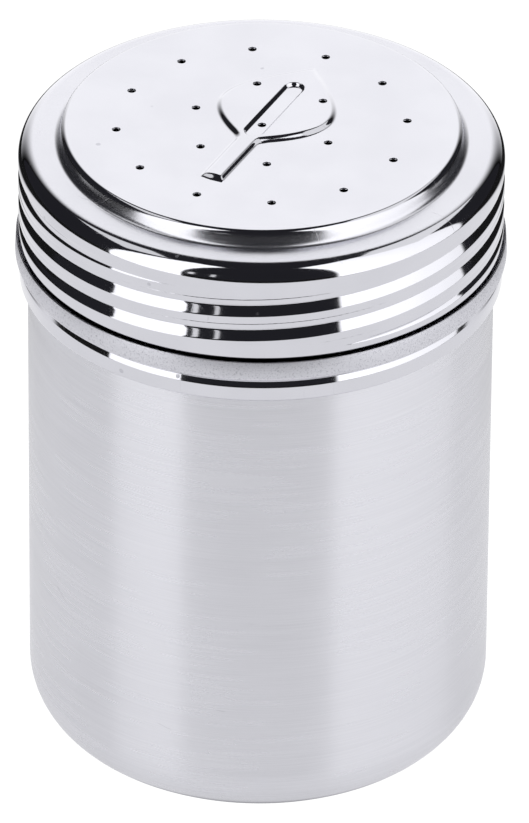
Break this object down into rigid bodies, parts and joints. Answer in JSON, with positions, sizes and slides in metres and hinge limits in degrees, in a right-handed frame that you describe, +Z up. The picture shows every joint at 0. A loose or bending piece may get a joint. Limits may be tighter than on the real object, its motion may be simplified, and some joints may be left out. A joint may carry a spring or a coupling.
{
  "type": "screw-lid spice shaker",
  "caption": "Stainless steel spice shaker: a seamless round can with a rounded base corner, and a perforated screw lid with a raised top, an embossed leaf, a rolled thread and a folded hem.",
  "frame": {"origin": "centre of the can's base, on the surface it stands on", "axes": "+Z up the can's axis; +Y is the side the embossed leaf points to, and -Y the side a viewer reads it from"},
  "size_m": [0.0706, 0.0706, 0.0995],
  "materials": {
    "satin_steel": "fine satin, brushed round the can",
    "polished_steel": "mirror-polished stainless steel"
  },
  "bodies": {
    "can": {"can": "satin_steel"},
    "lid": {"lid": "polished_steel"}
  },
  "joints": [
    {"name": "lid_lift", "type": "slide", "parent": "can", "child": "lid", "axis": [0, 0, 1], "range_m": [0, 0.04]}
  ]
}
